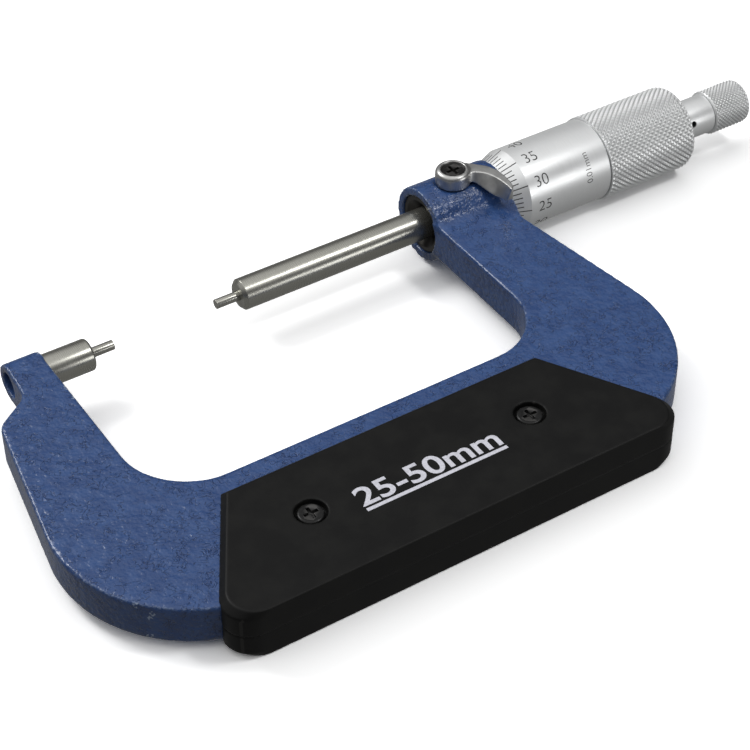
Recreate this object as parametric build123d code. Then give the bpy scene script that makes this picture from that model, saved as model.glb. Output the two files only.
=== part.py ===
from build123d import *
import math
import os

# Outside micrometer with pin-shaped measuring tips, 25-50 mm range, 0.5 mm screw pitch.
# The tool lies flat: X runs along the measuring axis from the anvil towards the ratchet,
# Z is square to the U-frame, and the origin is the centre of the anvil's measuring face.

# --- driving dimensions, millimetres ---
SPINDLE_R = 3.25
PIN_R = 1.0
ANVIL_PIN_PROUD = 4.9
SPINDLE_PIN_PROUD = 5.05
PIN_DEPTH = 4.0
PIN_CHAMFER = 0.08
PIN_END_PLAY = 0.1
BAR_CHAMFER = 0.7
ANVIL_ROUND = 0.7
ANVIL_DRIFT_R = 2.5
ANVIL_STOP = 2.0
REST_GAP = 22.4
FIT = 0.01
SLIDE_FIT = 0.02
RUN_FIT = 0.05
OVERCUT = 1.0

FRAME_HALF = 4.05
EDGE_ROUND = 0.45
ARM_IN_LEFT = -14.4
ARM_IN_RIGHT = 69.8
THROAT_Y = -46.3
THROAT_R_LEFT = 14.0
THROAT_R_RIGHT = 13.0
END_X = -21.7
OUTER_R = 27.5
OUTER_Y = -75.5
OUTER_X_LEFT = -39.9
OUTER_X_RIGHT = 95.1

BOSS_R = 8.0
BOSS_FRONT = 70.2
BOSS_BACK = 88.2
BOSS_BLEND_R = 3.5
BOSS_BORE_R = 6.25
BOSS_ARM_REACH = 14.0
ARM_TOP_Y = -5.0
ARM_FLARE = [(88.2, -8.0, 4.0), (86.2, -13.0, 5.0)]
ANVIL_WAIST = [(-29.4, -13.7, 4.0), (-22.2, -8.6, 4.0)]

COVER_MID_X = 28.8
COVER_TOP_HALF = 32.7
COVER_IN_Y = -51.9
COVER_OUT_Y = -79.3
COVER_HALF = 5.4
COVER_LEAN = math.radians(30)
COVER_CORNER_R = 5.0
COVER_GAP = 0.1
SCREW_X = (5.8, 51.8)
SCREW_Y = -63.7
COVER_SCREW_R = 1.25
COVER_SCREW_HEAD_R = 2.5
COVER_SCREW_SEAT = 3.9
COVER_SCREW_HEAD = 1.1
COVER_SCREW_ROUND = 0.5
COVER_SCREW_TIP = 0.3
COVER_SCREW_PLAY = 0.1
COUNTERBORE_R = 3.0
SPIGOT_R = 3.9
SPIGOT_END = 2.9

GUIDE_FRONT = 70.6
GUIDE_END = 86.0
GUIDE_BORE_END = 84.5
MOUTH_R = 5.2
MOUTH_DEPTH = 1.9
THREAD_RELIEF = 0.4
NUT_START = 113.5
STEM_END = 124.4
STEM_R = 5.6
STEM_SLOT_START = 118.5
STEM_SLOT_WIDTH = 0.8
NUT_RING_GAP = 0.3
NUT_RING_R = 6.5
NUT_NOTCH = (1.2, 1.0)
SLEEVE_R = 7.0
SLEEVE_END = 119.4
THREAD_R = 3.75

THIMBLE_FRONT = 88.6
BEVEL_END = 92.3
THIMBLE_R = 8.85
BEVEL_FRONT_R = 7.4
THIMBLE_BORE_R = 7.12
KNURL_START = 113.0
KNURL_R = 9.25
KNURL_RAMP = 0.3
THIMBLE_ROUND = 1.5
THIMBLE_BACK = 135.7
THIMBLE_WALL = 125.5
SEAT_R = 3.4
SEAT_END = 137.0

STUB_R = 2.5
STUB_END = 141.0
HOUSING_R = 4.3
HOUSING_END = 144.9
HOUSING_BORE_R = 3.4
HOUSING_CHAMFER = 0.2
SPANNER_X = 139.0
SPANNER_R = 0.55
SPANNER_DEPTH = 1.5
SPANNER_TURNS = (20, 200)
CAP_START = 145.0
CAP_R = 4.9
CAP_END = 154.5
CAP_ROUND = 0.9
CAP_CHAMFER = 0.25
CAP_RECESS = 1.4
SPRING_START = 141.1
SPRING_END = 142.6
SPRING_R = (3.1, 2.5)
WHEEL_START = 142.7
WHEEL_END = 143.7
WHEEL_BORE_R = 1.6
KNOB_STEM_START = 143.8
TOOTH_SLOT = (0.8, 0.5)
RATCHET_TEETH = 6
RATCHET_SCREW_R = 1.0
RATCHET_HEAD_R = 2.0
RATCHET_HEAD = 0.9
RATCHET_SEAT = 153.15
RATCHET_SLOT = (0.8, 0.5)

LOCK_X = 78.3
LOCK_SPOT_Z = 7.3
LEVER_Z0 = 7.6
LEVER_Z1 = 10.9
LEVER_RING_R = 3.65
STUD_R = 1.95
NECK_R = 1.7
NECK_TOP = 9.0
SHOE_TOP = 4.3
LEVER_ROUND = 0.9
LOCK_SCREW_R = 1.2
LOCK_SCREW_TOP = 10.5
LOCK_SCREW_TIP = 5.1
COUNTERSINK_R = 2.5
SPOT_PLAY = 0.4
ARM_TOP_Z = 10.3
ARM_LOW_Z = 6.3
RECESS_BLADE = 0.7


def tube_along_x(x0, x1, outer, inner=0.0):
    """Round bar or tube on the measuring axis."""
    body = Cylinder(outer, x1 - x0, rotation=(0, 90, 0)).moved(Location(((x0 + x1) / 2, 0, 0)))
    if inner > 0:
        body = body - tube_along_x(x0 - OVERCUT, x1 + OVERCUT, inner)
    return body


def post(x, y, z0, z1, outer, inner=0.0):
    """Round bar or tube square to the frame."""
    body = Cylinder(outer, z1 - z0).moved(Location((x, y, (z0 + z1) / 2)))
    if inner > 0:
        body = body - post(x, y, z0 - OVERCUT, z1 + OVERCUT, inner)
    return body


def turned(points):
    """Solid of revolution about the measuring axis from (x, r) corners."""
    outline = Polyline(*[(x, r, 0) for x, r in points], close=True)
    return revolve(make_face(outline), Axis.X, 360)


def end_edges(part, x, radius):
    """The round edge of the given radius that lies in the plane at x."""
    ring = part.edges().filter_by(GeomType.CIRCLE)
    return [e for e in ring if abs(e.center().X - x) < 0.01 and abs(e.radius - radius) < 0.01]


def cross_recess(x, y, z_top, reach, depth):
    """Cross-shaped driver recess, as a cutting tool."""
    one = Box(2 * reach, RECESS_BLADE, 2 * depth)
    other = Box(RECESS_BLADE, 2 * reach, 2 * depth)
    return (one + other).moved(Location((x, y, z_top)))


def rounded_polygon(corners):
    """Closed plan from (x, y, corner radius) entries; radius 0 keeps the corner sharp."""
    plan = make_face(Polyline(*[(x, y) for x, y, _ in corners], close=True))
    for x, y, radius in corners:
        if radius > 0:
            spot = plan.vertices().sort_by_distance((x, y, 0))[0]
            plan = fillet(spot, radius)
    return plan


def frame_outline():
    """Plan of the flat U, with its waisted anvil end and its flare towards the spindle boss."""
    return rounded_polygon([
        (END_X, 0, 0),
        (ARM_IN_LEFT, 0, 0),
        (ARM_IN_LEFT, THROAT_Y, THROAT_R_LEFT),
        (ARM_IN_RIGHT, THROAT_Y, THROAT_R_RIGHT),
        (ARM_IN_RIGHT, ARM_TOP_Y, 0),
        (BOSS_BACK, ARM_TOP_Y, 0),
        *ARM_FLARE,
        (OUTER_X_RIGHT, OUTER_Y, OUTER_R),
        (OUTER_X_LEFT, OUTER_Y, OUTER_R),
        *ANVIL_WAIST,
    ])


def frame_slab():
    """Flat U of the frame with lightly rounded edges and the half-round anvil end."""
    slab = extrude(frame_outline(), FRAME_HALF, both=True)
    rims = [e for e in slab.edges() if abs(abs(e.center().Z) - FRAME_HALF) < 0.01]
    rims = [e for e in rims if e.center().Y < ARM_TOP_Y - 0.1]
    slab = fillet(rims, EDGE_ROUND)
    return slab + tube_along_x(END_X, ARM_IN_LEFT, FRAME_HALF)


def boss_body():
    """Round spindle boss that blends into the arm with a hollow fillet on each face."""
    arm = Rectangle(BOSS_ARM_REACH, 2 * FRAME_HALF).moved(Location((-BOSS_ARM_REACH / 2, 0)))
    side = Sketch() + Circle(BOSS_R) + arm
    crook = [v for v in side.vertices() if -BOSS_R < v.X < -1]
    side = fillet(crook, BOSS_BLEND_R)
    upright = Plane(origin=(BOSS_FRONT, 0, 0), x_dir=(0, 1, 0), z_dir=(1, 0, 0))
    body = extrude(upright * side, BOSS_BACK - BOSS_FRONT)
    flare_x, flare_y, _ = ARM_FLARE[-1]
    plan = rounded_polygon([
        (BOSS_FRONT, BOSS_R + OVERCUT, 0),
        (BOSS_BACK, BOSS_R + OVERCUT, 0),
        *ARM_FLARE,
        (flare_x + OVERCUT, flare_y - BOSS_R, 0),
        (BOSS_FRONT, flare_y - BOSS_R, 0),
    ])
    return body & extrude(plan, BOSS_R + OVERCUT, both=True)


def make_frame():
    frame = frame_slab() + boss_body()
    frame = frame - tube_along_x(BOSS_FRONT - OVERCUT, BOSS_BACK + OVERCUT, BOSS_BORE_R)
    frame = frame - tube_along_x(END_X + ANVIL_STOP, ARM_IN_LEFT + OVERCUT, SPINDLE_R + FIT)
    frame = frame - tube_along_x(END_X - OVERCUT, END_X + ANVIL_STOP, ANVIL_DRIFT_R)
    frame = frame - post(LOCK_X, 0, LOCK_SPOT_Z, BOSS_R + OVERCUT, LEVER_RING_R + SPOT_PLAY)
    frame = frame - post(LOCK_X, 0, 0, BOSS_R, STUD_R + RUN_FIT)
    for x in SCREW_X:
        frame = frame - post(x, SCREW_Y, -FRAME_HALF, FRAME_HALF, COVER_SCREW_R + FIT)
        frame = frame - post(x, SCREW_Y, SPIGOT_END, FRAME_HALF + OVERCUT, SPIGOT_R + FIT)
        frame = frame - post(x, SCREW_Y, -FRAME_HALF - OVERCUT, -SPIGOT_END, SPIGOT_R + FIT)
    return frame


def cover_outline(spread):
    """Trapezoid plan of a cover, its three bevelled sides moved out by the spread."""
    lean = math.tan(COVER_LEAN)
    half_in = COVER_TOP_HALF + spread / math.cos(COVER_LEAN) - spread * lean
    half_out = half_in + (COVER_IN_Y + spread - COVER_OUT_Y) * lean
    corners = [
        (COVER_MID_X - half_in, COVER_IN_Y + spread),
        (COVER_MID_X + half_in, COVER_IN_Y + spread),
        (COVER_MID_X + half_out, COVER_OUT_Y),
        (COVER_MID_X - half_out, COVER_OUT_Y),
    ]
    plan = make_face(Polyline(*corners, close=True))
    lower = plan.vertices().sort_by(Axis.Y)[:2]
    return fillet(lower, COVER_CORNER_R)


def make_cover_top():
    """Moulded half shell over one face of the frame, wrapped to mid-thickness round the outer edge."""
    skirt = extrude(cover_outline(COVER_HALF - FRAME_HALF), FRAME_HALF)
    crown_foot = skirt.faces().sort_by(Axis.Z)[-1]
    crown_top = cover_outline(0).moved(Location((0, 0, COVER_HALF)))
    room = extrude(offset(frame_outline(), COVER_GAP), FRAME_HALF, both=True)
    cover = skirt + loft([crown_foot, crown_top]) - room
    for x in SCREW_X:
        cover = cover + post(x, SCREW_Y, SPIGOT_END + FIT, COVER_SCREW_SEAT, SPIGOT_R)
        cover = cover + post(x, SCREW_Y, COVER_SCREW_SEAT, COVER_HALF, SPIGOT_R, COUNTERBORE_R)
        cover = cover - post(x, SCREW_Y, COVER_SCREW_SEAT, COVER_HALF + OVERCUT, COUNTERBORE_R)
        cover = cover - post(x, SCREW_Y, 0, COVER_HALF, COVER_SCREW_R + COVER_SCREW_PLAY)
    return cover


def mirrored_down(part):
    return mirror(part, Plane.XY)


def cover_screw(x):
    """Pan-head M2.5 screw with a cross recess."""
    head_top = COVER_SCREW_SEAT + COVER_SCREW_HEAD
    screw = post(x, SCREW_Y, COVER_SCREW_TIP, COVER_SCREW_SEAT, COVER_SCREW_R)
    head = post(x, SCREW_Y, COVER_SCREW_SEAT, head_top, COVER_SCREW_HEAD_R)
    crown = [e for e in head.edges() if abs(e.center().Z - head_top) < 0.01]
    screw = screw + fillet(crown, COVER_SCREW_ROUND)
    return screw - cross_recess(x, SCREW_Y, head_top, 1.4, 0.7)


def make_anvil():
    body = tube_along_x(END_X + ANVIL_STOP, -ANVIL_PIN_PROUD, SPINDLE_R)
    body = fillet(end_edges(body, -ANVIL_PIN_PROUD, SPINDLE_R), ANVIL_ROUND)
    return body - tube_along_x(-ANVIL_PIN_PROUD - PIN_DEPTH, 0, PIN_R + FIT)


def make_anvil_pin():
    pin = tube_along_x(-ANVIL_PIN_PROUD - PIN_DEPTH + PIN_END_PLAY, 0, PIN_R)
    return chamfer(end_edges(pin, 0, PIN_R), PIN_CHAMFER)


def make_spindle():
    """Plain guided bar, threaded length, seat for the thimble and stub for the ratchet."""
    face = REST_GAP + SPINDLE_PIN_PROUD
    bar = tube_along_x(face, GUIDE_END, SPINDLE_R)
    bar = chamfer(end_edges(bar, face, SPINDLE_R), BAR_CHAMFER)
    spindle = bar + tube_along_x(GUIDE_END, THIMBLE_WALL, THREAD_R)
    spindle = spindle + tube_along_x(THIMBLE_WALL, SEAT_END, SEAT_R)
    spindle = spindle + tube_along_x(SEAT_END, STUB_END, STUB_R)
    spindle = spindle - tube_along_x(face - OVERCUT, face + PIN_DEPTH, PIN_R + SLIDE_FIT)
    return spindle - tube_along_x(SEAT_END, STUB_END + OVERCUT, RATCHET_SCREW_R + FIT)


def make_spindle_pin():
    pin = tube_along_x(REST_GAP, REST_GAP + SPINDLE_PIN_PROUD + PIN_DEPTH - PIN_END_PLAY, PIN_R)
    return chamfer(end_edges(pin, REST_GAP, PIN_R), PIN_CHAMFER)


def make_guide_sleeve():
    """Pressed-in inner sleeve: wide mouth, guide bore, clearance bore, and nut thread at the rear."""
    body = tube_along_x(GUIDE_FRONT, BOSS_BACK, BOSS_BORE_R - FIT)
    body = body + tube_along_x(BOSS_BACK, STEM_END, STEM_R)
    body = body - tube_along_x(GUIDE_FRONT - OVERCUT, GUIDE_BORE_END, SPINDLE_R + SLIDE_FIT)
    body = body - turned([
        (GUIDE_FRONT, 0),
        (GUIDE_FRONT, MOUTH_R),
        (GUIDE_FRONT + MOUTH_DEPTH, SPINDLE_R),
        (GUIDE_FRONT + MOUTH_DEPTH, 0),
    ])
    body = body - tube_along_x(GUIDE_BORE_END, NUT_START, THREAD_R + THREAD_RELIEF)
    body = body - tube_along_x(NUT_START, STEM_END + OVERCUT, THREAD_R + SLIDE_FIT)
    slot_length = STEM_END + OVERCUT - STEM_SLOT_START
    slot = Box(slot_length, 2 * STEM_R + OVERCUT, STEM_SLOT_WIDTH)
    body = body - slot.moved(Location((STEM_SLOT_START + slot_length / 2, 0, 0)))
    return body - post(LOCK_X, 0, 0, BOSS_R, STUD_R + RUN_FIT)


def make_scale_sleeve():
    """Outer sleeve that carries the millimetre scale, turned to set zero."""
    return tube_along_x(BOSS_BACK + RUN_FIT, SLEEVE_END, SLEEVE_R, STEM_R + FIT)


def make_adjusting_nut():
    """Slotted ring that closes the split nut and takes up wear in the screw."""
    end = STEM_END - NUT_RING_GAP
    ring = tube_along_x(SLEEVE_END + NUT_RING_GAP, end, NUT_RING_R, STEM_R + FIT)
    depth, width = NUT_NOTCH
    notch = Box(depth, 2 * SLEEVE_R, width)
    return ring - notch.moved(Location((end - depth / 2, 0, 0)))


def make_thimble():
    """Graduated thimble with a bevelled front, a raised knurled grip and a thick rear wall."""
    body = turned([
        (THIMBLE_FRONT, 0),
        (THIMBLE_FRONT, BEVEL_FRONT_R),
        (BEVEL_END, THIMBLE_R),
        (KNURL_START, THIMBLE_R),
        (KNURL_START + KNURL_RAMP, KNURL_R),
        (THIMBLE_BACK, KNURL_R),
        (THIMBLE_BACK, 0),
    ])
    body = fillet(end_edges(body, THIMBLE_BACK, KNURL_R), THIMBLE_ROUND)
    body = body - tube_along_x(THIMBLE_FRONT - OVERCUT, THIMBLE_WALL, THIMBLE_BORE_R)
    return body - tube_along_x(THIMBLE_WALL - OVERCUT, THIMBLE_BACK + OVERCUT, SEAT_R + FIT)


def make_ratchet_housing():
    """Plain sleeve screwed on the spindle stub; it clamps the thimble and holds the ratchet."""
    body = tube_along_x(THIMBLE_BACK, HOUSING_END, HOUSING_R)
    body = chamfer(end_edges(body, HOUSING_END, HOUSING_R), HOUSING_CHAMFER)
    body = body - tube_along_x(THIMBLE_BACK - OVERCUT, SEAT_END, SEAT_R + FIT)
    body = body - tube_along_x(SEAT_END - OVERCUT, STUB_END, STUB_R + FIT)
    body = body - tube_along_x(STUB_END, HOUSING_END + OVERCUT, HOUSING_BORE_R)
    spanner_hole = Cylinder(SPANNER_R, 2 * SPANNER_DEPTH, rotation=(90, 0, 0))
    for turn in SPANNER_TURNS:
        hole = spanner_hole.moved(Location((SPANNER_X, -HOUSING_R, 0)))
        body = body - hole.rotate(Axis.X, -turn)
    return body


def make_ratchet_spring():
    """Coil spring drawn as the closed ring it fills when pressed between its seats."""
    outer, inner = SPRING_R
    return tube_along_x(SPRING_START, SPRING_END, outer, inner)


def crown_teeth(x):
    """Ring of slots cut into a face square to the axis, as a cutting tool."""
    depth, width = TOOTH_SLOT
    slot = Box(depth, 2 * HOUSING_BORE_R + OVERCUT, width)
    cut = Part()
    for k in range(RATCHET_TEETH):
        cut = cut + slot.moved(Location((x, 0, 0))).rotate(Axis.X, 180 * k / RATCHET_TEETH)
    return cut


def make_ratchet_wheel():
    """Toothed ring keyed in the housing."""
    ring = tube_along_x(WHEEL_START, WHEEL_END, HOUSING_BORE_R - FIT, WHEEL_BORE_R)
    return ring - crown_teeth(WHEEL_END)


def make_ratchet_knob():
    """Knurled cap whose toothed stem runs in the housing."""
    cap = tube_along_x(CAP_START, CAP_END, CAP_R)
    cap = fillet(end_edges(cap, CAP_END, CAP_R), CAP_ROUND)
    cap = chamfer(end_edges(cap, CAP_START, CAP_R), CAP_CHAMFER)
    stem = tube_along_x(KNOB_STEM_START, CAP_START, HOUSING_BORE_R - RUN_FIT)
    knob = cap + stem - crown_teeth(KNOB_STEM_START)
    bore_r = RATCHET_SCREW_R + RUN_FIT
    knob = knob - tube_along_x(KNOB_STEM_START - OVERCUT, CAP_END + OVERCUT, bore_r)
    return knob - tube_along_x(CAP_END - CAP_RECESS, CAP_END + OVERCUT, RATCHET_HEAD_R + 2 * RUN_FIT)


def make_ratchet_screw():
    """Slotted screw that keeps the ratchet knob on the spindle."""
    head_end = RATCHET_SEAT + RATCHET_HEAD
    screw = tube_along_x(SEAT_END + 2 * RUN_FIT, RATCHET_SEAT, RATCHET_SCREW_R)
    head = tube_along_x(RATCHET_SEAT, head_end, RATCHET_HEAD_R)
    depth, width = RATCHET_SLOT
    slot = Box(depth, 2 * RATCHET_HEAD_R + OVERCUT, width)
    return screw + head - slot.moved(Location((head_end, 0, 0)))


def make_lock_shoe():
    """Brass pad that bears on the spindle when the lever is turned."""
    return post(LOCK_X, 0, SPINDLE_R + RUN_FIT, SHOE_TOP, STUD_R - SLIDE_FIT)


def make_lock_stud():
    """Screwed stud that presses the shoe and carries the lever on its neck."""
    stud = post(LOCK_X, 0, SHOE_TOP + RUN_FIT, LOCK_SPOT_Z, STUD_R)
    neck = post(LOCK_X, 0, LOCK_SPOT_Z, NECK_TOP, NECK_R)
    return stud + neck - post(LOCK_X, 0, LOCK_SCREW_TIP - SPOT_PLAY, LEVER_Z1, LOCK_SCREW_R + FIT)


def make_lock_washer():
    return post(LOCK_X, 0, LOCK_SPOT_Z, LEVER_Z0 - RUN_FIT, LEVER_RING_R - SPOT_PLAY, STUD_R + 2 * RUN_FIT)


def lever_arm():
    """Curved arm that reaches over the boss towards the frame and hollows out underneath."""
    plan = make_face([
        ThreePointArc((79.2, 2.9), (83.4, 0.2), (85.5, -2.6)),
        ThreePointArc((85.5, -2.6), (86.7, -6.3), (85.3, -11.0)),
        ThreePointArc((85.3, -11.0), (84.6, -11.3), (84.2, -10.6)),
        ThreePointArc((84.2, -10.6), (83.2, -6.0), (80.6, -2.6)),
        Line((80.6, -2.6), (79.2, 2.9)),
    ])
    arm = extrude(plan.moved(Location((0, 0, ARM_LOW_Z))), ARM_TOP_Z - ARM_LOW_Z)
    rise = Plane.YZ * make_face(Polyline((6, 5), (6, 8.3), (-1.5, 8.3), (-9, 6.3), (-14, 5.0), close=True))
    under = extrude(rise.moved(Location((LOCK_X, 0, 0))), BOSS_BACK - LOCK_X)
    return arm - under


def make_lock_lever():
    """Ring-headed clamp lever with a countersink for its screw."""
    ring = post(LOCK_X, 0, LEVER_Z0, LEVER_Z1, LEVER_RING_R)
    crown = [e for e in ring.edges() if abs(e.center().Z - LEVER_Z1) < 0.01]
    lever = fillet(crown, LEVER_ROUND) + lever_arm()
    lever = lever - post(LOCK_X, 0, LEVER_Z0 - OVERCUT, NECK_TOP + SLIDE_FIT, NECK_R + FIT)
    lever = lever - post(LOCK_X, 0, LEVER_Z0, LEVER_Z1 + OVERCUT, LOCK_SCREW_R + RUN_FIT)
    return lever - screw_head(RUN_FIT) - post(LOCK_X, 0, LOCK_SCREW_TOP, LEVER_Z1, COUNTERSINK_R + RUN_FIT)


def screw_head(spread):
    """Countersunk head shape, 90 degrees, made larger all round by the spread."""
    drop = COUNTERSINK_R - LOCK_SCREW_R
    cone = Cone(LOCK_SCREW_R + spread, COUNTERSINK_R + spread, drop)
    return cone.moved(Location((LOCK_X, 0, LOCK_SCREW_TOP - drop / 2)))


def make_lock_screw():
    shank_top = LOCK_SCREW_TOP - COUNTERSINK_R + LOCK_SCREW_R
    screw = screw_head(0) + post(LOCK_X, 0, LOCK_SCREW_TIP, shank_top, LOCK_SCREW_R)
    return screw - cross_recess(LOCK_X, 0, LOCK_SCREW_TOP, 1.5, 0.9)


def save(name, part):
    export_step(part, f"parts/{name}.step")


os.makedirs("parts", exist_ok=True)
cover = make_cover_top()
screws = Compound(children=[cover_screw(x) for x in SCREW_X])
nodes = {
    "frame": make_frame(),
    "cover_top": cover,
    "cover_bottom": mirrored_down(cover),
    "cover_screws_top": screws,
    "cover_screws_bottom": mirrored_down(screws),
    "anvil": make_anvil(),
    "anvil_pin": make_anvil_pin(),
    "guide_sleeve": make_guide_sleeve(),
    "scale_sleeve": make_scale_sleeve(),
    "adjusting_nut": make_adjusting_nut(),
    "spindle": make_spindle(),
    "spindle_pin": make_spindle_pin(),
    "thimble": make_thimble(),
    "ratchet_housing": make_ratchet_housing(),
    "ratchet_spring": make_ratchet_spring(),
    "ratchet_wheel": make_ratchet_wheel(),
    "ratchet_knob": make_ratchet_knob(),
    "ratchet_screw": make_ratchet_screw(),
    "lock_shoe": make_lock_shoe(),
    "lock_stud": make_lock_stud(),
    "lock_washer": make_lock_washer(),
    "lock_lever": make_lock_lever(),
    "lock_screw": make_lock_screw(),
}
for name, part in nodes.items():
    save(name, part)
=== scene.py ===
"""Looks of a pin-tipped outside micrometer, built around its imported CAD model."""
import math

import bmesh
import bpy
import numpy as np
from mathutils import Matrix, Vector


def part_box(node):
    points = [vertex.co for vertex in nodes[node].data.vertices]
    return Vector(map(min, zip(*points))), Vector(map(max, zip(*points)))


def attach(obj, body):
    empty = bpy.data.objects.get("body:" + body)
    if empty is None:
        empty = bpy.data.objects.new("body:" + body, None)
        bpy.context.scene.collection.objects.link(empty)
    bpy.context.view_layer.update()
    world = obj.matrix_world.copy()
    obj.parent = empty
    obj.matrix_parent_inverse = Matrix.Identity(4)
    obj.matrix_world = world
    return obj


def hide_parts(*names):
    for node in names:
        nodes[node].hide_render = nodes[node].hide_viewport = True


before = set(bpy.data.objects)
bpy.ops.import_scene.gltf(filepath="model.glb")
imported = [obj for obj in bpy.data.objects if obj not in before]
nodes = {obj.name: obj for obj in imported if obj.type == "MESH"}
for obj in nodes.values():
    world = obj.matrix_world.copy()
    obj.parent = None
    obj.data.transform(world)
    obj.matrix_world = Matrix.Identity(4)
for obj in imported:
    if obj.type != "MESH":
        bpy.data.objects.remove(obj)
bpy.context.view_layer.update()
scene = bpy.context.scene

MM = 0.001
TAU = 2 * math.pi

# --- view ---
CAMERA_AZIMUTH = math.radians(32.29)
CAMERA_ELEVATION = math.radians(41.08)
CAMERA_ROLL = math.radians(-0.41)
CAMERA_TARGET = Vector((37.29, -34.67, 0.0)) * MM
CAMERA_DISTANCE = 381.09 * MM
LENS_MM = 97.5
SENSOR_MM = 36.0
NEAR_CLIP = 0.01

# --- light: name, place, size, watts of each softbox; then the tent around them ---
LIGHT_AIM = Vector((50, -30, 0)) * MM
SOFTBOXES = [
    ("behind_left", (-0.20, 0.42, 0.44), (0.20, 0.20), 1.75),
    ("front_fill", (0.40, -0.60, 0.12), (0.30, 0.20), 0.9),
    ("streak", (0.30, -0.22, 0.54), (0.10, 0.10), 0.75),
]
TENT_AXIS = Vector((-0.2, 0.12, 1.0)).normalized()
TENT_DARK = (0.36, (0.065, 0.066, 0.07, 1))
TENT_BRIGHT = (0.94, (1.0, 1.0, 1.0, 1))
TENT_STRENGTH = 0.92
SHEET_GREY = (0.24, 0.24, 0.235, 1)
FLOOR_HALF = 1.6
FLOOR_CLEAR = 0.05 * MM

# --- thimble and scale ---
DIVISIONS = 50
NUMBER_STEP = 5
PITCH = 0.5 * MM
REST_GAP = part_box("spindle_pin")[0].x
RANGE_START_MM, RANGE_END_MM = 25, 50
ANGLE_OF_30 = math.radians(37.0)
DATUM_DIVISION = 40
BEVEL_LENGTH = 3.7 * MM
BEVEL_FRONT_R = 7.4 * MM
THIMBLE_R = 8.85 * MM
INK_HEIGHT = 0.012 * MM
INK_DEPTH = 0.03 * MM

# --- knurled grips: first x, depth, diamonds around, diamond length ---
GRIP_START = 113.0 * MM
GRIP_DEPTH = 0.48 * MM
GRIP_AROUND = 46
GRIP_LEAD = 1.36 * MM
CAP_START = 145.0 * MM
CAP_DEPTH = 0.34 * MM
CAP_AROUND = 32
CAP_LEAD = 0.92 * MM
KNURL_STEPS = 8
KNURL_SLOPE = 1.25
# share of the knurl depth, from the diamond tops, that the painted groove shade leaves alone
UNSHADED_TOP = 0.35

# --- range marking on the upper cover, and the bar under it ---
MARK_LEFT, MARK_RIGHT, MARK_FOOT = 14.0 * MM, 43.3 * MM, -67.9 * MM
MARK_SIZE = 6.4 * MM
MARK_PROUD = 0.02 * MM
MARK_BOLD = 0.016
BAR_TOP, BAR_FOOT = MARK_FOOT - 0.45 * MM, MARK_FOOT - 1.2 * MM

# --- seats and bores of the turned parts ---
PIN_BORE_R = 1.02 * MM
PIN_BORE_DEPTH = 4.0 * MM
GUIDE_BORE_R = 3.28 * MM
GUIDE_BORE_END = 84.5 * MM
SCREW_START = 86.0 * MM
BOSS_BACK = 88.2 * MM
SLEEVE_STEM_R = 5.6 * MM
NUT_START = 113.5 * MM
NUT_R = 3.78 * MM
RELIEF_R = 4.15 * MM
THIMBLE_BORE_R = 7.12 * MM
THIMBLE_WALL = 125.5 * MM
SEAT_R = 3.41 * MM
SEAT_END = 137.0 * MM
STUB_R = 2.51 * MM
STUB_END = 141.0 * MM
RATCHET_BORE_R = 3.4 * MM
SPANNER_X = 139.0 * MM
SPANNER_R = 0.72 * MM
SPANNER_TURNS = (math.radians(20), math.radians(200))

# --- shared finishing ---
FRAME_VOXEL = 0.36 * MM
COVER_VOXEL = 0.22 * MM
LEVER_VOXEL = 0.1 * MM
SCREW_EDGE = 0.05 * MM
ON_AXIS = 1e-7


# ------------------------------------------------------------------ stage

def place_camera():
    data = bpy.data.cameras.new("camera")
    data.lens = LENS_MM
    data.sensor_width = SENSOR_MM
    data.clip_start = NEAR_CLIP
    camera = bpy.data.objects.new("camera", data)
    scene.collection.objects.link(camera)
    level = math.cos(CAMERA_ELEVATION)
    along = math.sin(CAMERA_AZIMUTH) * level
    across = math.cos(CAMERA_AZIMUTH) * level
    look = Vector((along, across, -math.sin(CAMERA_ELEVATION)))
    right = look.cross(Vector((0, 0, 1))).normalized()
    up = right.cross(look)
    turn = Matrix.Rotation(-CAMERA_ROLL, 3, look)
    right, up = turn @ right, turn @ up
    spot = CAMERA_TARGET - look * CAMERA_DISTANCE
    camera.matrix_world = Matrix((
        (right.x, up.x, -look.x, spot.x),
        (right.y, up.y, -look.y, spot.y),
        (right.z, up.z, -look.z, spot.z),
        (0, 0, 0, 1),
    ))
    scene.camera = camera


def make_floor(material):
    """Pale sheet that touches the knurled grip and the outer edge of the lower cover.

    It is hidden from bounce light and gloss, so the undersides stay dark while the sheet is white.
    """
    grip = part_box("thimble")
    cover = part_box("cover_bottom")
    near, far = Vector((0, cover[0].y, cover[0].z)), Vector((0, 0, grip[0].z))
    slope = (far.z - near.z) / (far.y - near.y)
    plan = [(x * FLOOR_HALF, y * FLOOR_HALF) for x, y in ((-1, -1), (1, -1), (1, 1), (-1, 1))]
    corners = [(x, y, far.z + slope * y - FLOOR_CLEAR) for x, y in plan]
    mesh = bpy.data.meshes.new("floor")
    mesh.from_pydata(corners, [], [(0, 1, 2, 3)])
    floor = bpy.data.objects.new("floor", mesh)
    scene.collection.objects.link(floor)
    mesh.materials.append(material)
    floor.visible_glossy = False
    floor.visible_diffuse = False


def add_area_light(name, spot, size, watts):
    data = bpy.data.lights.new(name, "AREA")
    data.shape = "RECTANGLE"
    data.size, data.size_y = size
    data.energy = watts
    light = bpy.data.objects.new(name, data)
    scene.collection.objects.link(light)
    light.location = spot
    light.rotation_euler = (LIGHT_AIM - Vector(spot)).to_track_quat("-Z", "Y").to_euler()


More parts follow.
